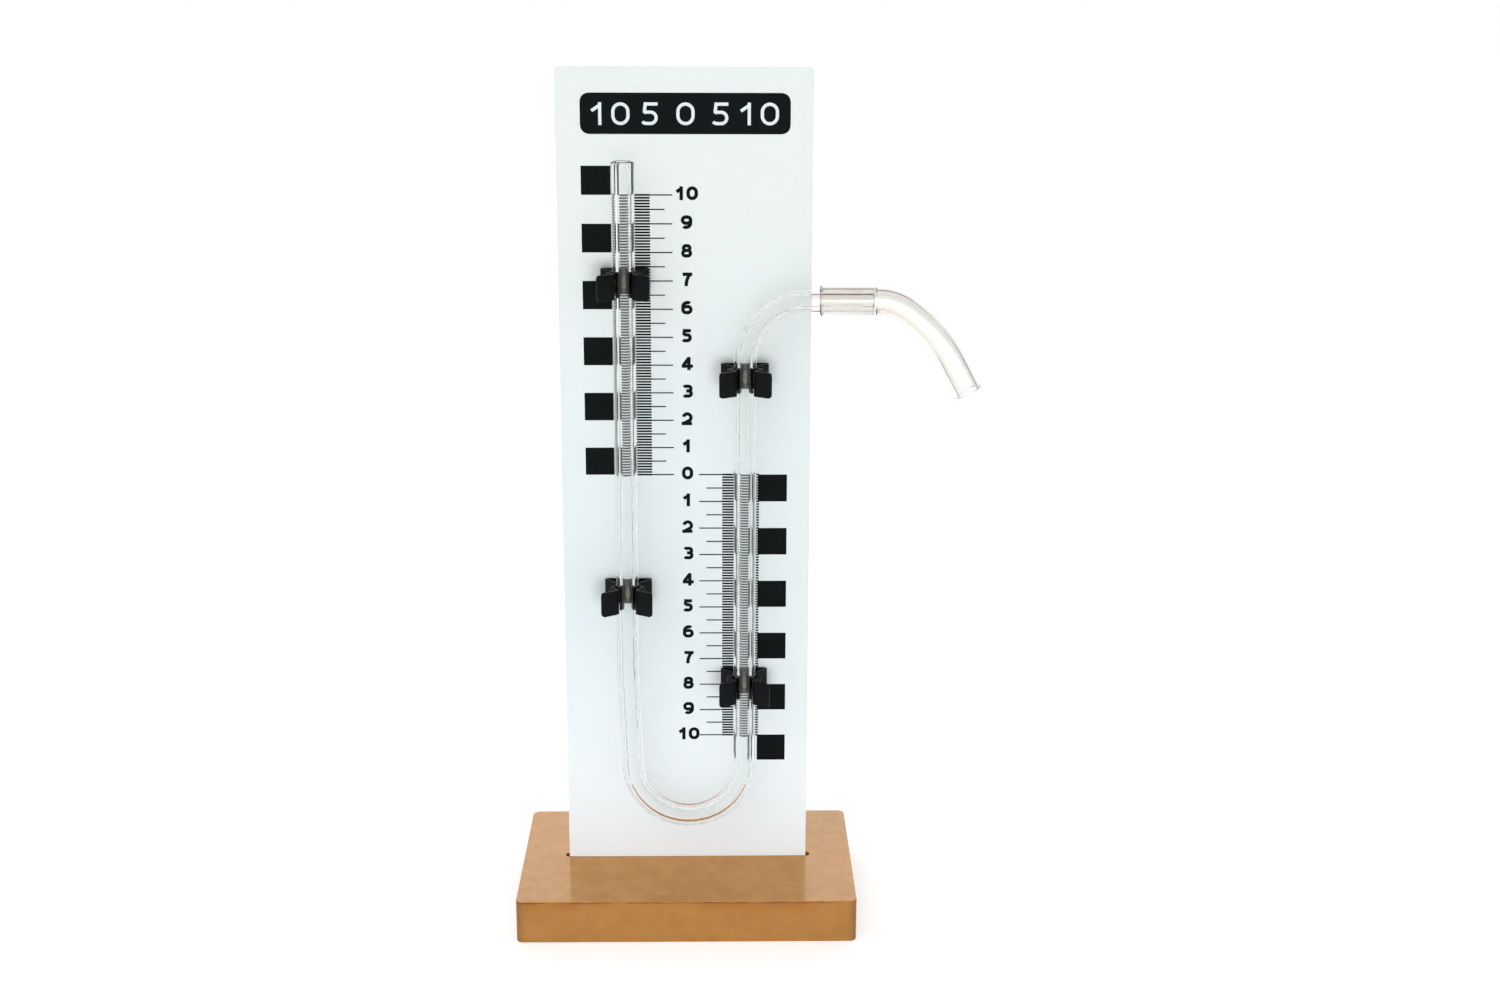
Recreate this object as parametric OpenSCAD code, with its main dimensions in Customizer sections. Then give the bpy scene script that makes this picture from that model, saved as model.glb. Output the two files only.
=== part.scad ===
// U-tube manometer on a stand: a bent glass tube held by four spring clips on
// a white scale board, which stands in the slot of a varnished wooden base.
// Millimetres, +Z up. The origin is the centre of the base's underside, the
// board faces -Y, and heights named "above zero" count from the scale's 0 line.

/* [Base] */
// Width of the base, side to side
base_w = 123; // [110:1:180]
// Depth of the base, front to back
base_d = 80; // [60:1:120]
// Thickness of the base
base_h = 16; // [14:0.5:25]
// Radius of the four upright corners
base_corner_r = 2.5; // [1:0.5:6]
// Depth of the slot that the board stands in
slot_depth = 7.5; // [5:0.5:10]
// Side clearance of the board in its slot, on each face
slot_side_gap = 0.05; // [0.05:0.05:0.3]
// Length of the slot past each edge of the board
slot_end_gap = 1.5; // [1:0.25:4]

/* [Scale board] */
// Width of the board
board_w = 89; // [84:0.5:100]
// Full height of the board, with the part in the slot
board_h = 300; // [290:1:330]
// Thickness of the board
board_t = 3; // [2:0.5:5]
// Radius of the board's corners
board_corner_r = 1.5; // [0.5:0.5:5]
// Height of the scale's 0 line above the base
zero_h = 148.9; // [140:0.1:155]

/* [Glass tube] */
// Outside diameter of the glass
tube_od = 8; // [7:0.1:9]
// Bore of the glass
tube_bore = 4; // [2:0.1:6]
// Distance between the axes of the two arms
arm_gap = 42; // [38:0.5:46]
// Distance from the face of the board to the tube's axis
tube_standoff = 11; // [10:0.5:14]
// Height of the open end of the left arm above zero
open_end_h = 112.7; // [100:0.1:125]
// Depth of the lowest point of the tube's axis below zero
bend_drop = 127.2; // [120:0.1:132]
// Lean of the left arm below its clips
lean_angle = 2.2; // [0.5:0.1:3]
// Length of the leaning part of the left arm
lean_len = 38; // [25:1:40]
// Radius of the slight bend at the top of the lean
lean_bend_r = 60; // [30:5:80]
// Radius of the bend at the top of the right arm
top_bend_r = 21; // [18:0.5:24]
// Height of the side outlet's axis above zero
outlet_h = 65; // [64:0.5:75]
// Length of the straight part of the side outlet
outlet_len = 22.4; // [22:0.1:30]

/* [Clips] */
// Height of each clip
clip_h = 9; // [6:0.5:12]
// Thickness of the clip's wall
clip_t = 1.2; // [0.8:0.1:1.4]
// Width of the clip where it lies on the board
clip_w = 17; // [16:0.5:20]
// Inside clearance of the jaw on the glass
jaw_gap = 0.05; // [0.03:0.01:0.1]
// Slant of the four jaw walls
jaw_angle = 36; // [32:1:38]
// Length of each wall behind the glass
rear_wall = 4.85; // [4.7:0.05:5.2]
// Length of each wall in front of the glass
front_wall = 4.4; // [4.2:0.05:4.8]
// Length of each flared lip
lip_len = 6.6; // [5:0.1:8]
// Slope of the lips away from the board
lip_angle = 34; // [25:1:45]
// Middle radius of the folds in the jaw
fold_r = 1; // [0.8:0.05:1]
// Middle radius of the turned ends at the board
end_r = 0.9; // [0.8:0.05:1]
// Radius of the corners of the lips, seen from the front
lip_corner_r = 1.2; // [0.5:0.1:2]
// Middle height of the left upper clip above zero
left_upper_h = 70.2; // [55:0.1:85]
// Middle height of the left lower clip above zero
left_lower_h = -43.3; // [-45:0.1:-20]
// Middle height of the right upper clip above zero
right_upper_h = 36.4; // [20:0.1:36.5]
// Middle height of the right lower clip above zero
right_lower_h = -77.8; // [-82:0.1:-60]

/* [Clip screws] */
// Diameter of the screw
screw_d = 2.5; // [2:0.1:3]
// Clearance between the screw and its holes, all round
screw_gap = 0.1; // [0.05:0.05:0.3]
// Diameter of the screw's head
head_d = 4.5; // [4:0.1:5]
// Height of the screw's head
head_h = 1.6; // [1.2:0.1:2]
// Width of the screwdriver slot
driver_w = 0.6; // [0.4:0.05:0.8]
// Depth of the screwdriver slot
driver_depth = 0.8; // [0.4:0.05:1]
// Length of thread that shows past the nut
screw_end = 1; // [0.5:0.1:2]
// Diameter of the washer
washer_d = 6; // [5.5:0.1:8]
// Thickness of the washer
washer_t = 0.5; // [0.3:0.1:1]
// Width of the nut across its flats
nut_w = 5; // [4.5:0.1:6]
// Height of the nut
nut_h = 2; // [1.5:0.1:3]
// Clearance between the thread and the nut, all round
thread_gap = 0.02; // [0.01:0.01:0.04]

/* [Hose] */
// Outside diameter of the hose where it hangs free
hose_od = 10; // [9:0.1:11]
// Bore of the hose where it hangs free
hose_bore = 7; // [6:0.1:7.4]
// Outside diameter of the hose where the glass stretches it
sleeve_od = 10.9; // [10:0.1:12]
// Length of the hose that is pushed over the glass
sleeve_len = 18.6; // [12:0.1:20]
// Running clearance of the hose on the glass, all round
sleeve_gap = 0.05; // [0.03:0.01:0.1]
// Space between the end of the glass and the step inside the hose
seat_gap = 0.2; // [0.1:0.1:1]
// Length of the step where the hose narrows past the glass
step_len = 0.6; // [0.5:0.1:2]
// Length of the bevel at the hose's mouth on the glass
mouth_bevel = 1.2; // [0.5:0.1:2]
// Thickness of the hose's wall at that mouth
mouth_wall = 0.4; // [0.2:0.05:0.8]
// Length of the straight end of the hose
hose_end_len = 11.5; // [8:0.5:20]

/* [Hidden] */
$fn = 40;

// Heights and depths that the pieces share
zero_z = base_h + zero_h;
board_z = base_h - slot_depth;
board_front_y = -board_t / 2;
board_back_y = board_t / 2;
tube_y = board_front_y - tube_standoff;

// The tube's path. The left arm leans in by lean_angle before the U-bend,
// which turns up into the right arm.
tube_wall = (tube_od - tube_bore) / 2;
lean_bend_in = lean_bend_r * (1 - cos(lean_angle));
u_bend_r = (arm_gap - lean_bend_in - lean_len * sin(lean_angle)) / (1 + cos(lean_angle));
u_bend_z = zero_z - bend_drop + u_bend_r;
lean_bottom_z = u_bend_z - u_bend_r * sin(lean_angle);
lean_top_z = lean_bottom_z + lean_len * cos(lean_angle) + lean_bend_r * sin(lean_angle);
left_arm_len = zero_z + open_end_h - lean_top_z - tube_wall / 2;
right_arm_len = zero_z + outlet_h - top_bend_r - u_bend_z;
outlet_end_x = arm_gap / 2 + top_bend_r + outlet_len + tube_wall / 2;

// How far a bend reaches into the wall of the straight length next to it, and
// how far it stays inside that wall's faces
lap = 0.3;
lap_step = 0.01;

// The hose's path past the glass: [radius, angle] of each bend, in order
hose_bends = [[18, 36], [54, 26]];
hose_start_x = outlet_end_x - sleeve_len;
step_start = sleeve_len + seat_gap;
step_end = step_start + step_len;

// Where each clip is fixed: [x, z, turn of the screw's slot]
left_upper = [-arm_gap / 2, zero_z + left_upper_h, 35];
left_lower = [-arm_gap / 2, zero_z + left_lower_h, 80];
right_upper = [arm_gap / 2, zero_z + right_upper_h, 10];
right_lower = [arm_gap / 2, zero_z + right_lower_h, 55];
clip_places = [left_upper, left_lower, right_upper, right_lower];

// The middle line of the clip's wall, from the middle of its back to one lip.
// x runs along the board and y away from it.
fold_steps = 5;
wall_to_axis = tube_od / 2 + jaw_gap + clip_t / 2;
jaw_corner = [wall_to_axis / cos(jaw_angle), tube_standoff];
rear_neck = jaw_corner - rear_wall * [sin(jaw_angle), cos(jaw_angle)];
front_neck = jaw_corner + front_wall * [-sin(jaw_angle), cos(jaw_angle)];
lip_end = front_neck + lip_len * [cos(lip_angle), sin(lip_angle)];
end_centre = [clip_w / 2 - clip_t / 2 - end_r, clip_t / 2 + end_r];
neck_offset = rear_neck - end_centre;
end_turn = atan2(neck_offset.y, neck_offset.x) - acos(end_r / norm(neck_offset));
end_leave = end_centre + end_r * [cos(end_turn), sin(end_turn)];
clip_half = concat(
    [for (i = [0:2 * fold_steps])
        end_centre + end_r * turned([1, 0], -90 + (end_turn + 90) * i / (2 * fold_steps))],
    fold(end_leave, rear_neck, jaw_corner),
    fold(rear_neck, jaw_corner, front_neck),
    fold(jaw_corner, front_neck, lip_end),
    [lip_end]
);
clip_line = concat(
    [for (i = [len(clip_half) - 1:-1:0]) [-clip_half[i].x, clip_half[i].y]],
    clip_half
);
lips_w = 2 * (lip_end.x + clip_t / 2 * sin(lip_angle));
corner_room = 0.1;
clip_front_w = max(lips_w, clip_w) + corner_room;

// A direction or point turned by an angle about the origin
function turned(p, angle) =
    [p.x * cos(angle) - p.y * sin(angle), p.x * sin(angle) + p.y * cos(angle)];

function unit(v) = v / norm(v);

// Points along the round fold at b, between the lines a-b and b-c
function fold(a, b, c) =
    let (
        u = unit(a - b),
        v = unit(c - b),
        half = acos(u * v) / 2,
        start = b + u * fold_r / tan(half),
        centre = b + unit(u + v) * fold_r / sin(half),
        side = (u.x * v.y - u.y * v.x) > 0 ? -1 : 1,
        sweep = side * (180 - 2 * half)
    )
    [for (i = [0:fold_steps]) centre + turned(start - centre, sweep * i / fold_steps)];

// Direction square to a line of points, at point i
function square_to(line, i) =
    let (
        before = line[max(i - 1, 0)],
        after = line[min(i + 1, len(line) - 1)]
    )
    unit(turned(after - before, 90));

// Outline of a strip of the given thickness that follows a line of points
function strip_outline(line, thickness) = concat(
    [for (i = [0:len(line) - 1]) line[i] + square_to(line, i) * thickness / 2],
    [for (i = [len(line) - 1:-1:0]) line[i] - square_to(line, i) * thickness / 2]
);

// A rectangle about the origin with round corners
module rounded_rect(w, h, r) {
    square([w - 2 * r, h], center = true);
    square([w, h - 2 * r], center = true);
    for (x = [-1, 1], y = [-1, 1])
        translate([x * (w / 2 - r), y * (h / 2 - r)]) circle(r);
}

module ring(od, bore) {
    difference() {
        circle(d = od);
        circle(d = bore);
    }
}

// A straight length of tube along +Z. What follows carries on from its end.
module run(length, od, bore) {
    linear_extrude(length) ring(od, bore);
    translate([0, 0, length]) children();
}

// A bend that turns the tube from +Z towards +X, or towards -X with side -1.
// It laps a little into the straight length at each end, inside its wall.
// What follows carries on from its end.
module bend(r, angle, od, bore, side = 1) {
    lap_angle = lap / r * 180 / PI;
    rotate([0, 0, side > 0 ? 0 : 180]) translate([r, 0, 0]) {
        rotate([90, 0, 0]) rotate([0, 0, 180 - angle - lap_angle])
            rotate_extrude(angle = angle + 2 * lap_angle) translate([r, 0])
                ring(od - 2 * lap_step, bore + 2 * lap_step);
        rotate([0, angle, 0]) translate([-r, 0, 0])
            rotate([0, 0, side > 0 ? 0 : -180]) children();
    }
}

// The fire-polished rim of the glass, rounded over the whole wall
module polished_rim() {
    rotate_extrude() translate([(tube_od + tube_bore) / 4, 0]) intersection() {
        circle(d = tube_wall);
        translate([-tube_wall, 0]) square([2 * tube_wall, tube_wall]);
    }
}

// Places a piece on a clip's fixing, with +Y of the piece pointing away from
// the face of the board and +Z up
module on_board(place) {
    translate([place.x, board_front_y, place.y]) rotate([0, 0, 180]) children();
}

// Places a piece on a clip's screw axis, with +Z of the piece pointing from
// the face of the board to the front
module on_screw(place) {
    translate([place.x, board_front_y, place.y]) rotate([90, 0, 0]) children();
}

// Wooden base: a block with a blind slot across it
module base_block() {
    slot_l = board_w + 2 * slot_end_gap;
    slot_w = board_t + 2 * slot_side_gap;
    color([0.78, 0.6, 0.4]) difference() {
        linear_extrude(base_h) rounded_rect(base_w, base_d, base_corner_r);
        translate([0, 0, board_z]) linear_extrude(slot_depth + 1) {
            square([slot_l - slot_w, slot_w], center = true);
            for (x = [-1, 1]) translate([x * (slot_l - slot_w) / 2, 0]) circle(d = slot_w);
        }
    }
}

// Scale board: a white sheet with a hole for each clip's screw
module scale_board() {
    color([0.91, 0.94, 0.95]) difference() {
        translate([0, board_back_y, board_z + board_h / 2]) rotate([90, 0, 0])
            linear_extrude(board_t) rounded_rect(board_w, board_h, board_corner_r);
        for (place = clip_places)
            on_screw(place) translate([0, 0, -board_t - 1])
                cylinder(h = board_t + 2, d = screw_d + 2 * screw_gap);
    }
}

// Glass tube: down the left arm, round the U-bend, up the right arm and out
// to the side
module glass_tube() {
    color([0.8, 0.9, 0.92, 0.5])
        translate([-arm_gap / 2, tube_y, zero_z + open_end_h - tube_wall / 2]) {
            polished_rim();
            rotate([0, 180, 0])
                run(left_arm_len, tube_od, tube_bore)
                bend(lean_bend_r, lean_angle, tube_od, tube_bore, side = -1)
                run(lean_len, tube_od, tube_bore)
                bend(u_bend_r, 180 - lean_angle, tube_od, tube_bore, side = -1)
                run(right_arm_len, tube_od, tube_bore)
                bend(top_bend_r, 90, tube_od, tube_bore)
                run(outlet_len, tube_od, tube_bore)
                polished_rim();
        }
}

// Hose: a sleeve stretched over the glass, a step down, then the hanging part
module hose() {
    glass_r = tube_od / 2 + sleeve_gap;
    color([0.93, 0.93, 0.9, 0.6])
        translate([hose_start_x, tube_y, zero_z + outlet_h]) rotate([0, 90, 0]) {
            rotate_extrude() polygon([
                [glass_r, 0],
                [glass_r + mouth_wall, 0],
                [sleeve_od / 2, mouth_bevel],
                [sleeve_od / 2, step_start],
                [hose_od / 2, step_end],
                [hose_bore / 2, step_end],
                [glass_r, step_start]
            ]);
            translate([0, 0, step_end])
                run(2 * lap, hose_od, hose_bore)
                bend(hose_bends[0][0], hose_bends[0][1], hose_od, hose_bore)
                run(2 * lap, hose_od, hose_bore)
                bend(hose_bends[1][0], hose_bends[1][1], hose_od, hose_bore)
                run(hose_end_len, hose_od, hose_bore);
        }
}

// Clip: one folded strip, flat on the board, that closes round the glass
module clip(place) {
    color([0.07, 0.08, 0.08]) on_board(place) difference() {
        intersection() {
            translate([0, 0, -clip_h / 2]) linear_extrude(clip_h)
                polygon(strip_outline(clip_line, clip_t));
            translate([0, 2 * tube_standoff, 0]) rotate([90, 0, 0])
                linear_extrude(3 * tube_standoff)
                    rounded_rect(clip_front_w, clip_h, lip_corner_r);
        }
        translate([0, 2 * clip_t, 0]) rotate([90, 0, 0])
            cylinder(h = 3 * clip_t, d = screw_d + 2 * screw_gap);
    }
}

// Clip screw: a slotted brass screw through the clip and the board
module clip_screw(place) {
    shank = clip_t + board_t + washer_t + nut_h + screw_end;
    color([0.72, 0.6, 0.3]) on_screw(place) translate([0, 0, clip_t]) {
        difference() {
            cylinder(h = head_h, d = head_d);
            rotate([0, 0, place.z])
                translate([-head_d, -driver_w / 2, head_h - driver_depth])
                    cube([2 * head_d, driver_w, head_h]);
        }
        translate([0, 0, -shank]) cylinder(h = shank, d = screw_d);
    }
}

// Washer behind the board
module washer(place) {
    color([0.75, 0.63, 0.34]) on_screw(place) translate([0, 0, -board_t - washer_t])
        linear_extrude(washer_t) ring(washer_d, screw_d + 2 * screw_gap);
}

// Nut behind the washer
module nut(place) {
    color([0.72, 0.6, 0.3]) on_screw(place)
        translate([0, 0, -board_t - washer_t - nut_h]) difference() {
            cylinder(h = nut_h, d = nut_w / cos(30), $fn = 6);
            translate([0, 0, -1]) cylinder(h = nut_h + 2, d = screw_d + 2 * thread_gap);
        }
}

base_block();
scale_board();
glass_tube();
hose();
clip(left_upper);  // clip_left_upper
clip(left_lower);  // clip_left_lower
clip(right_upper);  // clip_right_upper
clip(right_lower);  // clip_right_lower
clip_screw(left_upper);  // screw_left_upper
clip_screw(left_lower);  // screw_left_lower
clip_screw(right_upper);  // screw_right_upper
clip_screw(right_lower);  // screw_right_lower
washer(left_upper);  // washer_left_upper
washer(left_lower);  // washer_left_lower
washer(right_upper);  // washer_right_upper
washer(right_lower);  // washer_right_lower
nut(left_upper);  // nut_left_upper
nut(left_lower);  // nut_left_lower
nut(right_upper);  // nut_right_upper
nut(right_lower);  // nut_right_lower
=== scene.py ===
import bmesh
import bpy
import numpy as np
from mathutils import Euler, Matrix, Vector


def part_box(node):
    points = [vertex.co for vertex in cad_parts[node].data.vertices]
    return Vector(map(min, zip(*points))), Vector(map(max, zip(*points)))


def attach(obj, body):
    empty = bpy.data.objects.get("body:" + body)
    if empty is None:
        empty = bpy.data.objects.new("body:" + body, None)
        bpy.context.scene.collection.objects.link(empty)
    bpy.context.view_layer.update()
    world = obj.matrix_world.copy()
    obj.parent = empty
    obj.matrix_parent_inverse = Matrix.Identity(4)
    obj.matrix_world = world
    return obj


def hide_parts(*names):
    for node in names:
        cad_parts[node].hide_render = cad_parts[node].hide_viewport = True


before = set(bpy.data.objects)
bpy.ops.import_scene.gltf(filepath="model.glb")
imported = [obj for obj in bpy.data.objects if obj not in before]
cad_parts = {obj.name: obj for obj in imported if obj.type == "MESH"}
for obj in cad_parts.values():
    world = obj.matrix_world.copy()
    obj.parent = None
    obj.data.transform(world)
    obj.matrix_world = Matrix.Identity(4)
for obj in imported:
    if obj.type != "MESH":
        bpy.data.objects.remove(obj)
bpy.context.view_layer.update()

# View
# The photograph was taken from the front, a little above the board and to the
# right of its middle, with a slight tilt to one side.
lens_mm = 49.264
frame_mm = 36.0
camera_place = (0.00948, -0.7147, 0.3513)
look_down, look_aside, tilt = 0.268, -0.019, 0.004  # in radians

camera_data = bpy.data.cameras.new("camera")
camera_data.lens = lens_mm
camera_data.sensor_width = frame_mm
camera_data.sensor_fit = "HORIZONTAL"
camera = bpy.data.objects.new("camera", camera_data)
looking = Euler((np.pi / 2 - look_down, 0, look_aside)).to_matrix()
turn = looking @ Matrix.Rotation(tilt, 3, "Z")
camera.matrix_world = Matrix.Translation(camera_place) @ turn.to_4x4()
bpy.context.scene.collection.objects.link(camera)
bpy.context.scene.camera = camera
bpy.context.scene.view_settings.view_transform = "Standard"


# Hose
# A short length of clear, soft plastic hose. It was warmed and pushed over the
# end of the glass, which stretches it, and hangs down in its own curve. The
# sizes of all pieces are in millimetres.
tube_y = -12.5
hose_mouth = (46.8, 229.9)
hose_steps = [(20.0, 0), (18, -36), (0.6, 0), (54, -26), (11.5, 0)]
hose_long = 67.91
hose_outer, hose_inner = 5.0, 3.5
sleeve_outer, sleeve_inner = 5.45, 4.05
mouth_edge, sleeve_long, narrow_from = 0.5, 18.8, 19.4
hose_profile = [
    (0.0, hose_outer), (mouth_edge, sleeve_outer), (sleeve_long, sleeve_outer),
    (narrow_from, hose_outer), (hose_long, hose_outer), (hose_long, hose_inner),
    (narrow_from, hose_inner), (sleeve_long, sleeve_inner), (0.0, sleeve_inner),
]
hose_sides = 72
route_points = 35


def shade(red, green, blue):
    """A colour as a screen shows it, from 0 to 255, as a linear colour: the power of 2.4 law."""
    level = np.array([red, green, blue]) / 255
    linear = np.where(level < 0.04045, level / 12.92, ((level + 0.055) / 1.055) ** 2.4)
    return (*linear, 1.0)


class Wire:
    """An output of a shader node. Arithmetic on it adds Math nodes."""

    def __init__(self, finish, socket):
        self.finish, self.socket = finish, socket

    def __add__(self, other):
        return self.finish.maths("ADD", self, other)

    def __rsub__(self, other):
        return self.finish.maths("SUBTRACT", other, self)

    def __mul__(self, other):
        return self.finish.maths("MULTIPLY", self, other)

    __radd__ = __add__
    __rmul__ = __mul__


class Finish:
    """A material, or the world, whose nodes are added by expressions."""

    def __init__(self, name, owner=None):
        self.owner = owner or bpy.data.materials.new(name)
        self.owner.use_nodes = True
        self.tree = self.owner.node_tree
        self.tree.nodes.clear()

    def node(self, kind, settings, sockets, out=0):
        """Adds a node of that kind, sets its settings, then its sockets, and gives an output."""
        node = self.tree.nodes.new("ShaderNode" + kind)
        for key, value in settings.items():
            setattr(node, key, value)
        for key, value in sockets.items():
            if isinstance(value, Wire):
                self.tree.links.new(value.socket, node.inputs[key])
            else:
                node.inputs[key].default_value = value
        return Wire(self, node.outputs[out]) if node.outputs else None

    def maths(self, operation, *values):
        return self.node("Math", {"operation": operation}, dict(enumerate(values)))

    def mix(self, factor, first, second):
        """A colour between two colours, or wires of colours."""
        return self.node("Mix", {"data_type": "RGBA"}, {0: factor, 6: first, 7: second}, out=2)

    def spot(self):
        """Where a point lies on the piece, in metres."""
        return self.node("TexCoord", {}, {}, out="Object")

    def coordinate(self, vector, axis):
        return self.node("SeparateXYZ", {}, {"Vector": vector}, out=axis)

    def ray(self, kind):
        """1 for a ray of that kind, such as Camera, and 0 for any other."""
        return self.node("LightPath", {}, {}, out="Is " + kind + " Ray")

    def straightened(self):
        """Where a point of a bent tube would lie if the tube were straight."""
        return self.node("Attribute", {"attribute_name": "straightened"}, {}, out="Vector")

    def stretched(self, vector, by):
        return self.node("VectorMath", {"operation": "MULTIPLY"}, {0: vector, 1: by})

    def noise(self, vector, per_metre, detail=2.0, roughness=0.5):
        """Cloudy noise about 0.5, with so many blobs a metre."""
        sockets = {"Vector": vector, "Scale": per_metre, "Detail": detail, "Roughness": roughness}
        return self.node("TexNoise", {}, sockets)

    def step(self, wire, low, high):
        """Rises smoothly from 0 to 1 as the wire goes from low to high."""
        sockets = {"Value": wire, "From Min": low, "From Max": high}
        return self.node("MapRange", {"interpolation_type": "SMOOTHSTEP"}, sockets)

    def bump(self, height, depth_mm):
        """A normal for a relief of that depth, where the height goes from 0 to 1."""
        return self.node("Bump", {}, {"Height": height, "Distance": depth_mm / 1000})

    def opaque(self, **sockets):
        """Closes the material with one Principled shader."""
        named = {key.replace("_", " "): value for key, value in sockets.items()}
        shader = self.node("BsdfPrincipled", {}, named)
        self.node("OutputMaterial", {}, {"Surface": shader})

    def clear(self, passing, **sockets):
        """Closes the material with a shader that bends light, and that lets the
        lamps shine through, in the passing colour, on what lies behind it."""
        named = {key.replace("_", " "): value for key, value in sockets.items()}
        shader = self.node("BsdfPrincipled", {}, {"Transmission Weight": 1.0, **named})
        straight_on = self.node("BsdfTransparent", {}, {"Color": passing})
        both = self.node("MixShader", {}, {0: self.ray("Shadow"), 1: shader, 2: straight_on})
        self.node("OutputMaterial", {}, {"Surface": both})


def lengths(steps):
    """The length of each step: as given for a straight one, and radius times turn for an arc."""
    size, turned = np.array(steps, float).T
    return np.where(turned == 0, size, size * np.radians(np.abs(turned)))


def along(start, heading, steps, distance):
    """Points and headings at distances along a path of straight lengths and arcs in a plane.

    A step is (length, 0) or (radius, turn in degrees), and its heading grows evenly. A point is
    the start of its step plus a chord: the distance times sinc of half the turn so far, along
    the mean heading.
    """
    length, turned = lengths(steps), np.array(steps, float)[:, 1]
    bend = np.radians(turned) / length
    begin = np.cumsum(length) - length
    aim = np.radians(heading) + np.radians(np.cumsum(turned) - turned)

    def chord(far, aim, bend):
        middle = aim + bend * far / 2
        reach = far * np.sinc(bend * far / 2 / np.pi)
        return np.stack([reach * np.cos(middle), reach * np.sin(middle)], axis=-1)

    whole = chord(length, aim, bend)
    corner = np.array(start) + np.cumsum(whole, axis=0) - whole
    step = np.clip(np.searchsorted(begin, distance, side="right") - 1, 0, len(length) - 1)
    far = distance - begin[step]
    return corner[step] + chord(far, aim[step], bend[step]), aim[step] + bend[step] * far


def eased(outline, reach, steps, most=0.45):
    """A closed outline with its corners eased: each corner becomes a parabola that
    touches both its sides at the reach, or at most at that share of a short side."""
    outline = np.array(outline, float)
    before, after = np.roll(outline, 1, axis=0) - outline, np.roll(outline, -1, axis=0) - outline
    before *= np.minimum(reach / np.linalg.norm(before, axis=1), most)[:, None]
    after *= np.minimum(reach / np.linalg.norm(after, axis=1), most)[:, None]
    t = np.linspace(0, 1, steps)[:, None]
    curve = outline[:, None] + before[:, None] * (1 - t) ** 2 + after[:, None] * t ** 2
    return curve.reshape(-1, 2)


def divided(outline, longest):
    """A closed outline whose sides are divided evenly into parts no longer than the longest."""
    side = np.roll(outline, -1, axis=0) - outline
    parts = np.ceil(np.linalg.norm(side, axis=1) / longest).astype(int).clip(1)
    which = np.repeat(np.arange(len(parts)), parts)
    share = (np.arange(parts.sum()) - np.repeat(np.cumsum(parts) - parts, parts)) / parts[which]
    return outline[which] + side[which] * share[:, None]


def grid_mesh(name, grid, rows_meet):
    """Faces between the neighbours in a grid of points, in millimetres. Columns run round. Rows
    run round too, or else the first and the last are closed by flat caps."""
    rows, columns = grid.shape[:2]
    index = np.arange(rows * columns).reshape(rows, columns)
    beside = np.roll(index, -1, axis=1)
    faces = np.stack([index, beside, np.roll(beside, -1, axis=0), np.roll(index, -1, axis=0)], -1)
    faces = (faces if rows_meet else faces[:-1]).reshape(-1, 4).tolist()
    if not rows_meet:
        faces += [index[0, ::-1].tolist(), index[-1].tolist()]
    mesh = bpy.data.meshes.new(name)
    mesh.from_pydata(grid.reshape(-1, 3) / 1000, [], faces)
    return mesh


def skin(name, grid, body, finish, rows_meet=True, **attributes):
    """A piece made of the faces of a grid, with vectors that its material reads."""
    mesh = grid_mesh(name, grid, rows_meet)
    for key, value in attributes.items():
        layer = mesh.attributes.new(key, "FLOAT_VECTOR", "POINT")
        layer.data.foreach_set("vector", value.ravel() / 1000)
    return placed(name, mesh, body, finish)


def placed(name, mesh, body, finish, crisp=35):
    """Turns a closed mesh's faces outwards, smooths what bends by less than crisp degrees, and
    puts the piece on its body."""
    form = bmesh.new()
    form.from_mesh(mesh)
    bmesh.ops.recalc_face_normals(form, faces=form.faces)
    form.to_mesh(mesh)
    form.free()
    mesh.polygons.foreach_set("use_smooth", np.ones(len(mesh.polygons), bool))
    mesh.set_sharp_from_angle(angle=np.radians(crisp))
    mesh.materials.clear()
    mesh.materials.append(finish)
    piece = bpy.data.objects.new(name, mesh)
    bpy.context.scene.collection.objects.link(piece)
    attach(piece, body)
    return piece


def tube_skin(name, start, heading, steps, profile, sides, body, finish):
    """A bent tube. At row i and angle t the point is the path's point at the profile's distance,
    plus the profile's radius times (cos t * sideways + sin t * forward)."""
    distance, radius = profile.T
    centre, aim = along(start, heading, steps, distance)
    t = np.linspace(0, 2 * np.pi, sides, endpoint=False)
    sideways, forward = radius[:, None] * np.cos(t), radius[:, None] * np.sin(t)
    grid = np.stack([
        centre[:, :1] - sideways * np.sin(aim)[:, None],
        tube_y + forward,
        centre[:, 1:] + sideways * np.cos(aim)[:, None],
    ], axis=-1)
    far = np.broadcast_to(distance[:, None], sideways.shape)
    straight = np.stack([sideways, forward, far], axis=-1)
    return skin(name, grid, body, finish, straightened=straight)


soft_plastic = Finish("clear_soft_plastic")
tube_spot = soft_plastic.straightened()
drawn = soft_plastic.noise(soft_plastic.stretched(tube_spot, (1, 1, 0.04)), per_metre=900, detail=3)
cloudy = soft_plastic.noise(tube_spot, per_metre=260, detail=3)
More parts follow.
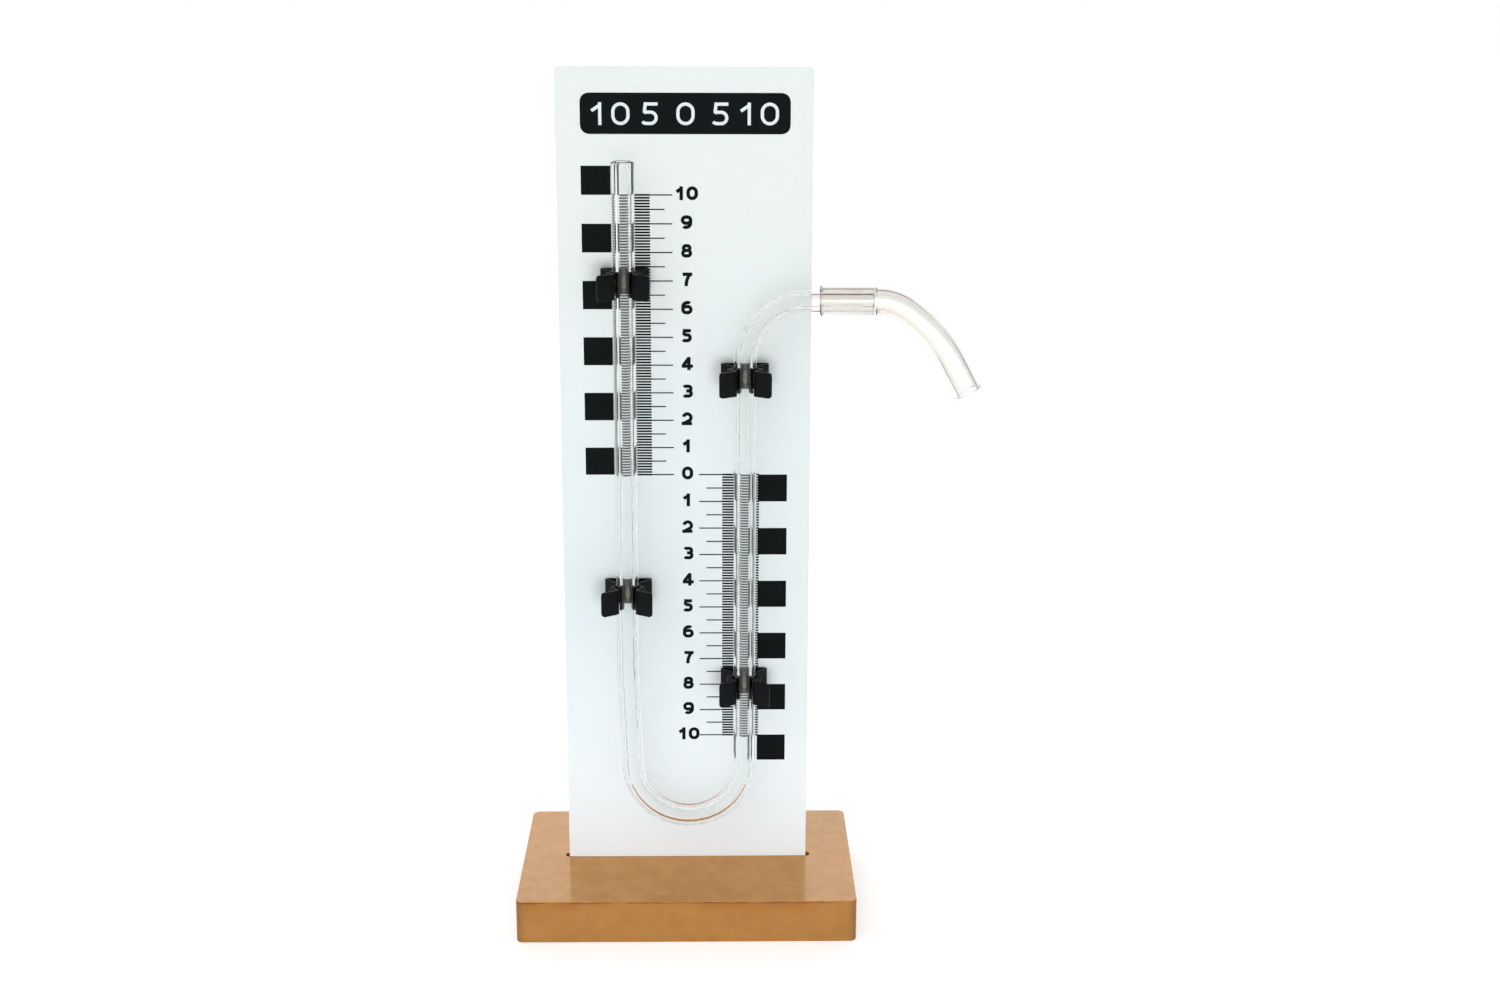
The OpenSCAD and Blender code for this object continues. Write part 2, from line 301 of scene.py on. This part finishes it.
# The hose is rough where it was cut, at both ends.
down_hose = soft_plastic.coordinate(tube_spot, "Z")
past_mouth = soft_plastic.step(down_hose, 0.0001, 0.0006)
cut = 1 - past_mouth + soft_plastic.step(down_hose, 0.0675, 0.0678)
soft_plastic.clear(
    passing=shade(250, 249, 247),
    Base_Color=soft_plastic.mix(cloudy, shade(248, 247, 245), shade(245, 244, 241)),
    Roughness=0.01 + 0.03 * cloudy + 0.4 * cut,
    IOR=1.52,
    Normal=soft_plastic.bump(drawn, 0.0006),
)
hose = tube_skin(
    "hose_skin", hose_mouth, 0, hose_steps,
    divided(eased(hose_profile, reach=0.3, steps=4), longest=1.0),
    hose_sides, "hose", soft_plastic.owner,
)
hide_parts("hose")
hose_route, _ = along(hose_mouth, 0, hose_steps, np.linspace(0, hose_long, route_points))
[(x / 1000, tube_y / 1000, z / 1000) for x, z in hose_route]

# Studio
# A white floor and a white surround, lit by a soft lamp at the upper left, a low
# one in front and a bright panel behind, which shows in the base's varnish. Glass
# and varnish also show a darker room in front and beside, and glass a brown ceiling.
lamp_places = [
    ("key", (-0.8, -1.1, 1.1), (1.5, 1.5), 5.1, (1, 1, 1), True),
    ("front", (0.05, -1.0, 0.12), (0.4, 0.2), 5.0, (1, 1, 1), False),
    ("panel", (0.0, 1.5, 0.75), (2.4, 1.4), 14.2, (1, 0.95, 0.86), True),
]
lamp_target = Vector((0, 0, 0.15))
for name, place, (width, height), power, colour, in_mirrors in lamp_places:
    lamp_data = bpy.data.lights.new(name, "AREA")
    lamp_data.shape = "RECTANGLE"
    lamp_data.size, lamp_data.size_y = width, height
    lamp_data.energy = power
    lamp_data.color = colour
    lamp = bpy.data.objects.new(name, lamp_data)
    facing = (lamp_target - Vector(place)).to_track_quat("-Z", "Y").to_matrix()
    lamp.matrix_world = Matrix.Translation(place) @ facing.to_4x4()
    lamp.visible_camera = lamp.visible_transmission = False
    lamp.visible_glossy = in_mirrors
    bpy.context.scene.collection.objects.link(lamp)

world = bpy.data.worlds.new("surround")
bpy.context.scene.world = world
surround = Finish("surround", world)
toward = surround.node("TexCoord", {}, {}, out="Generated")
sideways = surround.maths("ABSOLUTE", surround.coordinate(toward, "X"))
forward = -1 * surround.coordinate(toward, "Y")
upward = surround.coordinate(toward, "Z")
from_camera = surround.ray("Camera")
mirrored = surround.ray("Glossy")
bent = surround.ray("Transmission")
dark_room = surround.step(forward, 0.1, 0.5) * surround.step(upward, 0.08, 0.3)
at_sides = surround.maths("MAXIMUM", mirrored, bent) * surround.step(sideways, 0.68, 0.88)
ceiling = surround.step(upward + 0.3 * sideways, 0.62, 0.78)
backdrop_colour = (1, 1, 1, 1)
for where, colour in [
    (1 - from_camera, (0.97, 0.97, 0.965, 1)),
    ((1 - bent) * mirrored * dark_room, (0.1, 0.09, 0.085, 1)),
    (bent * surround.step(forward, 0.05, 0.3), (0.5, 0.5, 0.49, 1)),
    (at_sides, (0.34, 0.315, 0.3, 1)),
    (bent * ceiling, (0.24, 0.13, 0.09, 1)),
]:
    backdrop_colour = surround.mix(where, backdrop_colour, colour)
shows_backdrop = surround.maths("MINIMUM", from_camera + mirrored + bent, 1.0)
lighting = surround.node("Background", {}, {"Color": (1, 1, 1, 1), "Strength": 0.5})
backdrop = surround.node("Background", {}, {"Color": backdrop_colour, "Strength": 1.0})
both = surround.node("MixShader", {}, {0: shows_backdrop, 1: lighting, 2: backdrop})
surround.node("OutputWorld", {}, {"Surface": both})

# Glass shows the floor as plain grey close beside the object and in front of it,
# and varnish does in front. To the camera the floor glows, to come out white.
floor_half = 6
paper = Finish("white_floor")
at = paper.spot()
grain = paper.noise(at, per_metre=40, detail=3)
from_object = paper.node("VectorMath", {"operation": "LENGTH"}, {0: at}, out="Value")
far_off = paper.step(from_object, 0.3, 1.4)
sideways = paper.maths("ABSOLUTE", paper.coordinate(at, "X"))
backward = paper.coordinate(at, "Y")
beside = paper.step(sideways, 0.065, 0.11) * (1 - paper.step(backward, 0.25, 0.5))
before = paper.step(-1 * backward, 0.05, 0.09)
from_camera = paper.ray("Camera")
mirrored = paper.ray("Glossy")
bent = paper.ray("Transmission")
unlit = paper.maths("MAXIMUM", bent * beside, paper.maths("MAXIMUM", bent, mirrored) * before)
white = paper.mix(grain, (0.8, 0.8, 0.8, 1), (0.82, 0.82, 0.82, 1))
matt = paper.node("BsdfDiffuse", {}, {"Color": paper.mix(unlit, white, (0, 0, 0, 1))})
glow_bent = bent * (1 - unlit) * (0.36 + 0.2 * far_off) + unlit * (0.5 + 0.25 * before)
glow = paper.node("Emission", {}, {
    "Strength": 0.1 * mirrored + glow_bent + from_camera * (0.5 + 0.5 * far_off),
})
paper.node("OutputMaterial", {}, {"Surface": paper.node("AddShader", {}, {0: matt, 1: glow})})
floor_mesh = bpy.data.meshes.new("floor")
floor_mesh.from_pydata([
    (-floor_half, -floor_half, 0), (floor_half, -floor_half, 0),
    (floor_half, floor_half, 0), (-floor_half, floor_half, 0),
], [], [(0, 1, 2, 3)])
floor_mesh.materials.append(paper.owner)
floor = bpy.data.objects.new("floor", floor_mesh)
bpy.context.scene.collection.objects.link(floor)


# Base
# A block sawn from fine fibreboard, with a slot milled across its top, eased
# along its edges and dipped in clear varnish, which shines like a wet surface.
base_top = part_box("base_block")[1].z
base_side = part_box("base_block")[1].x
crease = 30


def softened(node, name, edge, body, finish):
    """A CAD solid with its triangles joined into whole faces. Where two of them meet at more
    than the crease, in degrees, a bevel as wide as the edge, in millimetres, rounds them."""
    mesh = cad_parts[node].data.copy()
    form = bmesh.new()
    form.from_mesh(mesh)
    bmesh.ops.remove_doubles(form, verts=form.verts, dist=1e-6)
    bmesh.ops.dissolve_limit(form, angle_limit=np.radians(1), verts=form.verts, edges=form.edges)
    form.to_mesh(mesh)
    form.free()
    piece = placed(name, mesh, body, finish, crisp=crease)
    rounding = piece.modifiers.new("rounding", "BEVEL")
    rounding.width = edge / 1000
    rounding.segments = 3
    rounding.limit_method = "ANGLE"
    rounding.angle_limit = np.radians(crease)
    rounding.harden_normals = True
    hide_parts(node)
    return piece


varnished = Finish("varnished_fibreboard")
at = varnished.spot()
height = varnished.coordinate(at, "Z")
facing_up = varnished.coordinate(varnished.node("TexCoord", {}, {}, out="Normal"), "Z")
on_side = 1 - varnished.step(varnished.maths("ABSOLUTE", facing_up), 0.3, 0.7)
mottle = varnished.noise(at, per_metre=150, detail=5, roughness=0.65)
fibres = varnished.noise(at, per_metre=2400, detail=3, roughness=0.6)
specks = varnished.step(varnished.noise(at, per_metre=700, detail=1), 0.74, 0.79)
lengthwise = varnished.stretched(at, (0.09, 0.09, 1))
streaks = varnished.noise(lengthwise, per_metre=1500, detail=3, roughness=0.6)
runs = varnished.noise(varnished.stretched(at, (1, 1, 0.2)), per_metre=60, detail=2)
near_top = varnished.step(height, base_top - 0.0055, base_top - 0.0005)
rim_line = varnished.step(height, base_top - 0.0012, base_top - 0.0003)
sideways = varnished.maths("ABSOLUTE", varnished.coordinate(at, "X"))
# Painted shade: the sides of the block darken over the last 5 mm towards each end, and the end
# faces are darker all over.
painted_corner_shade = varnished.step(sideways, base_side - 0.005, base_side)
wood_colour = varnished.mix(
    varnished.step(0.7 * mottle + 0.3 * fibres, 0.36, 0.64),
    (0.55, 0.24, 0.042, 1), (0.64, 0.3, 0.068, 1),
)
wood_colour = varnished.mix(0.85 * on_side, wood_colour, varnished.mix(
    mottle, (0.3, 0.137, 0.031, 1), (0.465, 0.226, 0.068, 1),
))
reddened = on_side * near_top * varnished.step(runs, 0.42, 0.62)
wood_colour = varnished.mix(0.5 * reddened, wood_colour, (0.36, 0.11, 0.012, 1))
streaked = on_side * rim_line * varnished.step(streaks, 0.4, 0.55)
wood_colour = varnished.mix(0.75 * streaked, wood_colour, (0.15, 0.05, 0.012, 1))
# painted shade towards the block's ends
wood_colour = varnished.mix(0.4 * on_side * painted_corner_shade, wood_colour, (0.2, 0.085, 0.025, 1))
wood_colour = varnished.mix(0.5 * specks, wood_colour, (0.14, 0.05, 0.014, 1))
varnished.opaque(
    Base_Color=wood_colour,
    Roughness=0.12 + 0.08 * mottle,
    IOR=1.5,
    Specular_IOR_Level=0.25,
    Normal=varnished.bump(fibres, 0.0025),
)
base = softened("base_block", "wooden_base", edge=0.35, body="base", finish=varnished.owner)

# Board
# A sheet of white plastic, sawn to size, with its corners rounded and four
# holes drilled for the clips. It stands in the slot of the base.
white_sheet = Finish("white_plastic_sheet")
at = white_sheet.spot()
height = white_sheet.coordinate(at, "Z")
clouds = white_sheet.noise(at, per_metre=22, detail=3)
peel = white_sheet.noise(at, per_metre=1500, detail=2)
upper = white_sheet.mix(clouds, (0.72, 0.768, 0.77, 1), (0.74, 0.788, 0.79, 1))
middle = white_sheet.mix(clouds, (0.715, 0.785, 0.8, 1), (0.73, 0.8, 0.81, 1))
sheet_colour = white_sheet.mix(white_sheet.step(height, 0.15, 0.27), middle, upper)
# Painted light: towards the bottom the sheet turns lighter and bluer, making up for the shade and
# the warm light that the base throws on it.
painted_light_low = (0.82, 0.893, 0.94, 1)
white_sheet.opaque(
    # painted light near the bottom of the sheet
    Base_Color=white_sheet.mix(white_sheet.step(height, 0.03, 0.13), painted_light_low, sheet_colour),
    Roughness=0.34 + 0.1 * clouds,
    IOR=1.5,
    Normal=white_sheet.bump(peel, 0.004),
)
board = softened("scale_board", "white_board", edge=0.25, body="board", finish=white_sheet.owner)

# Printed scale
# Black ink printed on the front of the board: a line for each millimetre, a
# numeral for each centimetre, and chequered squares along both sides.
zero = 164.9
board_front = -1.5
ink_thick, ink_sunk = 0.04, 0.01
short_line_wide, long_line_wide = 0.62, 0.42
square_high = 10
left_from, left_to, right_from, right_to = -35.85, -25.6, 25.9, 36.3
left_squares = [(left_from, left_to, z, z + square_high) for z in range(0, 101, 20)]
right_squares = [(right_from, right_to, z, z + square_high) for z in range(-110, 0, 20)]


def block_faces(count):
    """The six faces of each of so many blocks of eight corners."""
    one = np.array([
        (0, 1, 3, 2), (4, 6, 7, 5), (0, 4, 5, 1), (2, 3, 7, 6), (0, 2, 6, 4), (1, 5, 7, 3),
    ])
    return (one + 8 * np.arange(count)[:, None, None]).reshape(-1, 4)


def printed(name, areas, finish):
    """Ink on rectangles (x from, x to, z from, z to) of the board's face, with z above the
    scale's zero. A block's corner takes the first or second of each pair of limits."""
    areas = np.array(areas, float)
    corner = np.array([(i, j, k) for i in (0, 1) for j in (0, 1) for k in (0, 1)])
    x = areas[:, [0, 1]][:, corner[:, 0]]
    y = np.broadcast_to(board_front + ink_sunk - (ink_thick + ink_sunk) * corner[:, 1], x.shape)
    z = zero + areas[:, [2, 3]][:, corner[:, 2]]
    points = np.stack([x, y, z], -1).reshape(-1, 3) / 1000
    mesh = bpy.data.meshes.new(name)
    mesh.from_pydata(points, [], block_faces(len(areas)).tolist())
    return placed(name, mesh, "board", finish)


def ticks(long_end, half_end, short_end, foot, sign):
    """Millimetre lines from the foot to their short end, above zero or, where the sign is -1,
    below it. Every fifth and every tenth goes on as a thinner line to an end of its own."""
    areas = []
    for number in range(101):
        areas.append((foot, short_end, sign * number, short_line_wide))
        if number % 5 == 0:
            end = half_end if number % 10 else long_end
            areas.append((short_end, end, sign * number, long_line_wide))
    start, end, z, wide = np.array(areas, float).T
    left, right = np.minimum(start, end), np.maximum(start, end)
    return np.stack([left, right, z - wide / 2, z + wide / 2], -1)


black_ink = Finish("black_ink")
at = black_ink.spot()
uneven = black_ink.noise(at, per_metre=700, detail=3)
black_ink.opaque(
    Base_Color=black_ink.mix(uneven, shade(12, 16, 17), shade(20, 24, 25)),
    Roughness=0.5 + 0.15 * uneven,
    Specular_IOR_Level=0.06,
    Normal=black_ink.bump(uneven, 0.002),
)
printed("scale_squares", left_squares + right_squares, black_ink.owner)
printed("scale_lines", np.concatenate([
    ticks(long_end=-4.3, half_end=-7.0, short_end=-12.1, foot=-25.4, sign=1),
    ticks(long_end=4.7, half_end=7.3, short_end=13.0, foot=26.3, sign=-1),
]), black_ink.owner)

digit_high = 3.45
digit_step = 3.9
stroke_row = 0.12
stroke_lift = 0.003
numeral_size, numeral_pen, numeral_thick = 1.03, 1.22, ink_thick + 0.012
numeral_x, numeral_up = 0.6, 0.6
# Each stroke of a digit has its first point, its first heading, its steps, and
# how far it reaches past its first and its last point, in halves of the pen.
pen_strokes = {
    "0": [(0, 0, 0, [(1.35, 90), (0.75, 0), (1.35, 180), (0.75, 0), (1.35, 90)], 0, 0)],
    "1": [(0.2, 0, 90, [(3.45, 0)], 1, 1), (-1.2, 2.3, 34, [(1.5, 0)], 0.4, 0)],
    "2": [(-1.3, 2.35, 80, [(1.28, -170), (1.28, -62), (2.06, 0)], 0, 0),
          (-1.38, 0, 0, [(3.0, 0)], 1, 0)],
    "3": [(-1.15, 3.13, 50, [(0.9, -50), (0.9, 0), (0.815, -180), (0.8, 0)], 0, 0),
          (-0.36, 1.82, 0, [(0.8, 0), (0.91, -180), (0.9, 0), (0.9, -50)], 0, 0)],
    "4": [(0.6, 0, 90, [(3.45, 0)], 1, 1), (-1.4, 0.95, 54, [(3.2, 0)], 0, 0),
          (-1.5, 0.8, 0, [(2.9, 0)], 0.6, 1)],
    "5": [(1.35, 3.45, 180, [(2.2, 0)], 0, 0), (-0.85, 3.45, -97, [(1.6, 0)], 1, 0),
          (-1.1, 1.85, 35, [(0.9, -35), (0.65, 0), (1.0, -180), (0.75, 0), (0.9, -50)], 0, 0)],
    "6": [(-0.32, 0, 0, [(0.64, 0), (1.03, 180), (0.64, 0), (1.03, 180)], 0, 0),
          (-1.35, 1.03, 90, [(0.92, 0), (1.5, -90), (0.2, 0), (0.85, -50)], 0, 0)],
    "7": [(-1.4, 3.45, 0, [(2.7, 0)], 0, 1), (1.1, 3.45, -128, [(6.0, 36)], 0, 1)],
    "8": [(-0.34, 0, 0, [(0.68, 0), (0.93, 180), (0.68, 0), (0.93, 180)], 0, 0),
          (-0.26, 1.86, 0, [(0.52, 0), (0.795, 180), (0.52, 0), (0.795, 180)], 0, 0)],
}
pen_strokes["9"] = [
    (-x, digit_high - z, aim + 180, steps, first, last)
    for x, z, aim, steps, first, last in pen_strokes["6"]
]


def written(name, words, size, pen, thick, finish):
    """Numbers drawn on the board with a flat pen, one stroke after another. Each stroke is a path
    widened by half the pen to both sides and raised from the board by the thickness, and each
    stroke of a digit by a little more, so that where they cross one of them shows."""
    form = bmesh.new()
    for word, x, z in words:
        for place, digit in enumerate(word):
            middle = x + size * digit_step * (place - (len(word) - 1) / 2)
            for layer, (from_x, from_z, aim, steps, first, last) in enumerate(pen_strokes[digit]):
                length, half_pen = lengths(steps).sum(), pen / size / 2
                closed = abs(sum(turned for _, turned in steps)) == 360
                rows = int(length / stroke_row) + 2
                walk = np.linspace(-first * half_pen, length + last * half_pen, rows)
                walk = walk[:-1] if closed else walk
                point, heading = along((from_x, from_z), aim, steps, walk)
                point = size * (point - (0, digit_high / 2))
                side = pen / 2 * np.stack([-np.sin(heading), np.cos(heading)], -1)
                edges = np.stack([point + side, point - side, point - side, point + side], axis=1)
                height = thick + stroke_lift * layer
                raised = board_front - np.array([1, 1, 0, 0]) * height + ink_sunk
                grid = np.stack([
                    middle + edges[..., 0],
                    np.broadcast_to(raised, edges.shape[:2]),
                    zero + z + edges[..., 1],
                ], axis=-1)
                stroke = grid_mesh(name, grid, closed)
                form.from_mesh(stroke)
                bpy.data.meshes.remove(stroke)
    mesh = bpy.data.meshes.new(name)
    form.to_mesh(mesh)
    form.free()
    return placed(name, mesh, "board", finish)


numerals = [(str(abs(n)), numeral_x, 10 * n + numeral_up) for n in range(-10, 11)]
written("scale_numerals", numerals, numeral_size, numeral_pen, numeral_thick, black_ink.owner)

# Title strip
# A dark strip with round corners, printed across the top of the board, with
# plain numbers in light ink on it.
strip_left, strip_right, strip_bottom, strip_top = -35.8, 36.5, 120.8, 134.8
strip_thick = 0.05
title_size, title_pen, title_thick = 1.91, 1.1, strip_thick + 0.03
title_z = 127.7
title_words = [("10", -25.6), ("5", -11.7), ("0", 0.4), ("5", 12.5), ("10", 25.6)]
outline = eased([
    (strip_left, strip_bottom), (strip_right, strip_bottom),
    (strip_right, strip_top), (strip_left, strip_top),
], reach=3.6, steps=9)
depth = np.array([ink_sunk, -strip_thick])
grid = np.stack([
    np.broadcast_to(outline[:, 0], (2, len(outline))),
    np.broadcast_to(board_front + depth[:, None], (2, len(outline))),
    np.broadcast_to(zero + outline[:, 1], (2, len(outline))),
], axis=-1)
skin("title_strip", grid, "board", black_ink.owner, rows_meet=False)

pale_ink = Finish("pale_ink")
at = pale_ink.spot()
uneven = pale_ink.noise(at, per_metre=700, detail=3)
pale_ink.opaque(
    Base_Color=pale_ink.mix(uneven, shade(208, 219, 223), shade(222, 231, 234)),
    Roughness=0.4 + 0.15 * uneven,
)
title = [(word, x, title_z) for word, x in title_words]
written("title_numbers", title, title_size, title_pen, title_thick, pale_ink.owner)

# Clips
# Four spring clips, each one strip of black plastic, folded so that its jaws
# close round the glass and its lips flare to let the glass in.
clip_tall = 9.0
clip_thick = 1.2
standoff = 11.0
wall_middle = 4.65
jaw_slant, lip_slope = np.radians([36, 34])
rear_wall, front_wall, lip_long = 4.85, 4.4, 7.0
end_middle, end_round = np.array([7.0, 1.5]), 0.9
fold_round = 1.0
end_rows, fold_rows, lip_rows, lip_rows_from = 12, 7, 14, 0.45
lip_round, lip_edge, lip_edge_thinner = 1.2, 0.45, 0.7
strip_corner, strip_corner_drop = 0.42, 0.25
clip_spots = {
    "left_upper": (-21.0, zero + 70.2), "left_lower": (-21.0, zero - 43.3),
    "right_upper": (21.0, zero + 36.4), "right_lower": (21.0, zero - 77.8),
}


def clip_line():
    """The middle line of the clip's wall, as (along the board, away from the board), from one lip
    round the back to the other: a turned end, then three straight walls joined by eased folds."""
    jaw = np.array([wall_middle / np.cos(jaw_slant), standoff])
    rear = jaw - rear_wall * np.array([np.sin(jaw_slant), np.cos(jaw_slant)])
    front = jaw + front_wall * np.array([-np.sin(jaw_slant), np.cos(jaw_slant)])
    lip = front + lip_long * np.array([np.cos(lip_slope), np.sin(lip_slope)])
    offset = rear - end_middle
    leave = np.arctan2(offset[1], offset[0]) - np.arccos(end_round / np.linalg.norm(offset))
    angle = np.linspace(-np.pi / 2, leave, end_rows)
    turned_end = end_middle + end_round * np.stack([np.cos(angle), np.sin(angle)], -1)
    t = np.linspace(0, 1, fold_rows)[:, None]

    def fold(a, b, c):
        """A parabola that eases the corner at b, and reaches as far as a round fold would."""
        u, v = (a - b) / np.linalg.norm(a - b), (c - b) / np.linalg.norm(c - b)
        reach = fold_round / np.tan(np.arccos(u @ v) / 2)
        return b + u * reach * (1 - t) ** 2 + v * reach * t ** 2

    half = np.concatenate([
        [[0, clip_thick / 2]], turned_end, fold(turned_end[-1], rear, jaw), fold(rear, jaw, front),
        fold(jaw, front, lip), np.linspace(front + (lip - front) * lip_rows_from, lip, lip_rows),
    ])
    return np.concatenate([half[:0:-1] * [-1, 1], half])


satin_black = Finish("satin_black_plastic")
at = satin_black.spot()
peel = satin_black.noise(at, per_metre=1800, detail=3)
rubbed = satin_black.noise(at, per_metre=240, detail=3)
satin_black.opaque(
    Base_Color=satin_black.mix(rubbed, shade(7, 11, 12), shade(13, 17, 18)),
    Roughness=0.3 + 0.14 * rubbed,
    Specular_IOR_Level=0.12,
    Normal=satin_black.bump(peel, 0.006),
)
middle = clip_line()
tangent = np.gradient(middle, axis=0)
tangent /= np.linalg.norm(tangent, axis=1)[:, None]
across = np.stack([-tangent[:, 1], tangent[:, 0]], -1)
walked = np.concatenate([[0], np.cumsum(np.linalg.norm(np.diff(middle, axis=0), axis=1))])
from_end = np.minimum(walked, walked[-1] - walked)
in_corner = np.clip(lip_round - from_end, 0, lip_round)
half_tall = clip_tall / 2 - (lip_round - np.sqrt(lip_round ** 2 - in_corner ** 2))
at_edge = np.clip(1 - from_end / lip_edge, 0, 1)
half_thick = clip_thick / 2 * np.sqrt(1 - lip_edge_thinner * at_edge ** 2)
section = eased([(-1, -1), (1, -1), (1, 1), (-1, 1)], reach=strip_corner, steps=5)
thin = half_thick[:, None] * section[:, 0]
drop = strip_corner_drop * (1 - np.abs(section[:, 1])) / strip_corner
tall = np.sign(section[:, 1]) * (half_tall[:, None] - drop)
for spot_name, (clip_x, clip_z) in clip_spots.items():
    grid = np.stack([
        clip_x + middle[:, :1] + across[:, :1] * thin,
        board_front - middle[:, 1:] - across[:, 1:] * thin,
        clip_z + tall,
    ], axis=-1)
    strip = skin("clip_strip_" + spot_name, grid, "board", satin_black.owner, rows_meet=False)
    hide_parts("clip_" + spot_name)

# Clip screws
# Small slotted brass screws that hold the clips to the board, each with a
# washer and a nut behind it.
brass = Finish("turned_brass")
at = brass.spot()
turning = brass.noise(brass.stretched(at, (1, 6, 1)), per_metre=2200, detail=3)
tarnish = brass.noise(at, per_metre=500, detail=4)
brass.opaque(
    Base_Color=brass.mix(
        brass.step(tarnish, 0.35, 0.7), (0.32, 0.25, 0.1, 1), (0.22, 0.185, 0.095, 1),
    ),
    Metallic=1.0,
    Roughness=0.32 + 0.2 * tarnish,
    Normal=brass.bump(turning, 0.006),
)
for spot_name in clip_spots:
    for kind, edge in (("screw", 0.12), ("washer", 0.1), ("nut", 0.2)):
        node = kind + "_" + spot_name
        piece = softened(node, "brass_" + node, edge, "board", brass.owner)

# Glass tube
# One length of thick glass tube, bent in the flame: down, round the U, up and
# out to the side, with both ends polished round in the flame.
glass_outer, glass_inner = 4.0, 2.0
rim = (glass_outer - glass_inner) / 2
rim_rows = 9
glass_top = (-21.0, zero + 112.7)
u_bottom = zero - 127.2
outlet_from, outlet_round, outlet_long = zero + 44, 21, 23.4
lean, lean_long, lean_round, arm_gap = 2.2, 38, 60, 42
lean_sin, lean_cos = np.sin(np.radians(lean)), np.cos(np.radians(lean))
u_round = (arm_gap - lean_round * (1 - lean_cos) - lean_long * lean_sin) / (1 + lean_cos)
u_height = u_bottom + u_round
lean_top = u_height + (lean_round - u_round) * lean_sin + lean_long * lean_cos
glass_steps = [
    (glass_top[1] - lean_top, 0), (lean_round, lean), (lean_long, 0), (u_round, 180 - lean),
    (outlet_from - u_height, 0), (outlet_round, -90), (outlet_long, 0),
]
glass_long = lengths(glass_steps).sum()
glass_sides = 80


def paced(steps, apart_straight, apart_bent):
    """Distances of the rows along a path: even within each step, and closer together in arcs."""
    length, turned = lengths(steps), np.array(steps, float)[:, 1]
    parts = np.ceil(length / np.where(turned == 0, apart_straight, apart_bent)).astype(int)
    begin = np.cumsum(length) - length
    return np.concatenate([
        first + far * np.arange(count) / count for first, far, count in zip(begin, length, parts)
    ])


rows = paced(glass_steps, apart_straight=5.0, apart_bent=0.7)
rows = rows[(rows > rim) & (rows < glass_long - rim)]
rows = np.concatenate([[rim], rows, [glass_long - rim]])
turned_rim = np.linspace(0, np.pi, rim_rows)[1:-1]
rim_far = glass_long - rim + rim * np.sin(turned_rim)
rim_radius = (glass_outer + glass_inner) / 2 + rim * np.cos(turned_rim)
glass_profile = np.concatenate([
    np.stack([rows, np.full(len(rows), glass_outer)], -1),
    np.stack([rim_far, rim_radius], -1),
    np.stack([rows, np.full(len(rows), glass_inner)], -1)[::-1],
    np.stack([glass_long - rim_far, rim_radius], -1)[::-1],
])
clear_glass = Finish("clear_glass")
tube_spot = clear_glass.straightened()
drawn = clear_glass.noise(clear_glass.stretched(tube_spot, (1, 1, 0.02)), per_metre=500, detail=2)
smears = clear_glass.noise(tube_spot, per_metre=120, detail=4)
clear_glass.clear(
    passing=shade(254, 255, 254),
    Base_Color=clear_glass.mix(smears, (0.985, 0.996, 0.993, 1), (0.995, 1.0, 0.998, 1)),
    Roughness=0.0,
    IOR=1.47,
    Normal=clear_glass.bump(drawn, 0.0005),
)
glass = tube_skin(
    "glass_u_tube", glass_top, -90, glass_steps, glass_profile, glass_sides,
    "tube", clear_glass.owner,
)
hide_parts("glass_tube")
